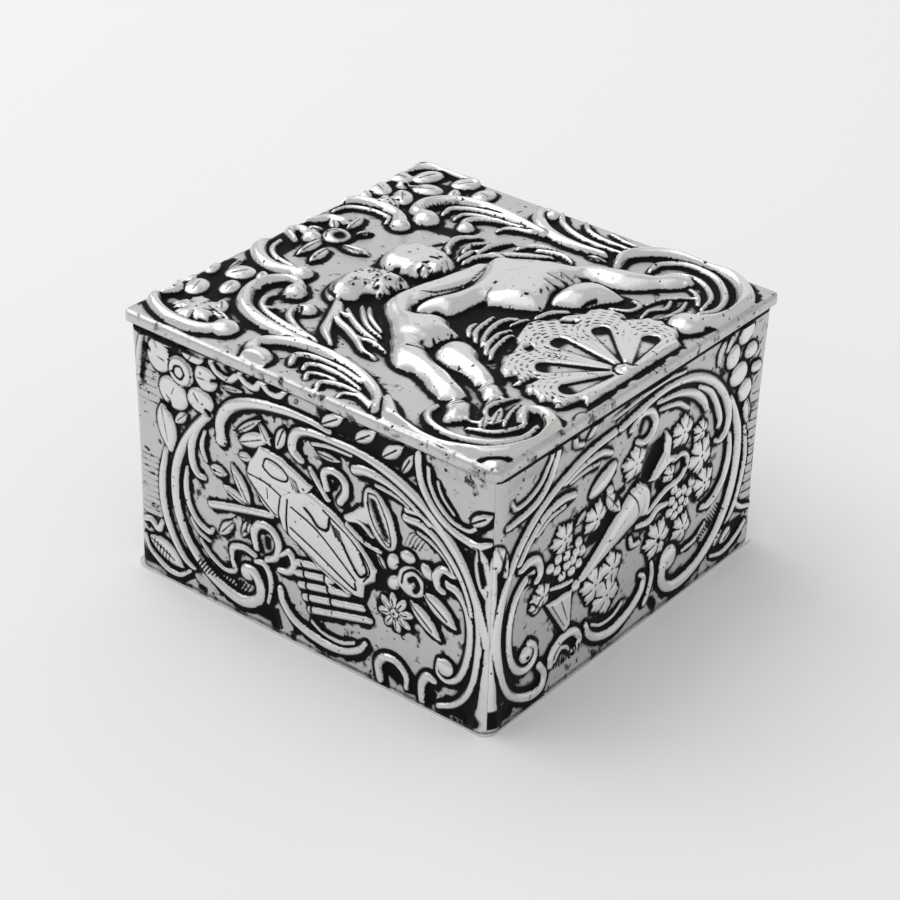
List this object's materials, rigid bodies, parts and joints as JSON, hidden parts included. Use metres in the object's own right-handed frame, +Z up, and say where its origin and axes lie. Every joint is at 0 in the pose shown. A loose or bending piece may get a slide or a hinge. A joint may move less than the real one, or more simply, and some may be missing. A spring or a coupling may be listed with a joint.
{
  "type": "hinged square silver trinket box",
  "caption": "Small square silver box with embossed rococo sides and a hinged lid embossed with two putti, flowers, scrolls and a fan",
  "frame": {"origin": "middle of the underside of the base plate", "axes": "+Z up from the base to the lid, +X towards the opening front, +Y to the side on the right of the lid's picture; the hinge is at -X"},
  "size_m": [0.0554, 0.055, 0.0371],
  "materials": {
    "body_silver": "satin embossed silver, dark in the hollows",
    "lid_silver": "polished embossed silver, dark in the hollows",
    "inner_silver": "plain polished silver with a faint warm tone",
    "hinge_silver": "satin silver"
  },
  "bodies": {
    "case": {"base_plate": "body_silver", "wall_front": "body_silver", "wall_left": "body_silver", "wall_right": "body_silver", "wall_back": "body_silver", "seat_ring": "inner_silver", "case_knuckle_1": "hinge_silver", "case_knuckle_2": "hinge_silver", "case_knuckle_3": "hinge_silver", "hinge_pin": "hinge_silver"},
    "lid": {"lid_top": "lid_silver", "lid_knuckle_1": "hinge_silver", "lid_knuckle_2": "hinge_silver"}
  },
  "joints": [
    {"name": "lid_hinge", "type": "hinge", "parent": "case", "child": "lid", "pos_m": [-0.027, 0, 0.03338], "axis": [0, -1, 0], "range_deg": [0, 98]}
  ]
}
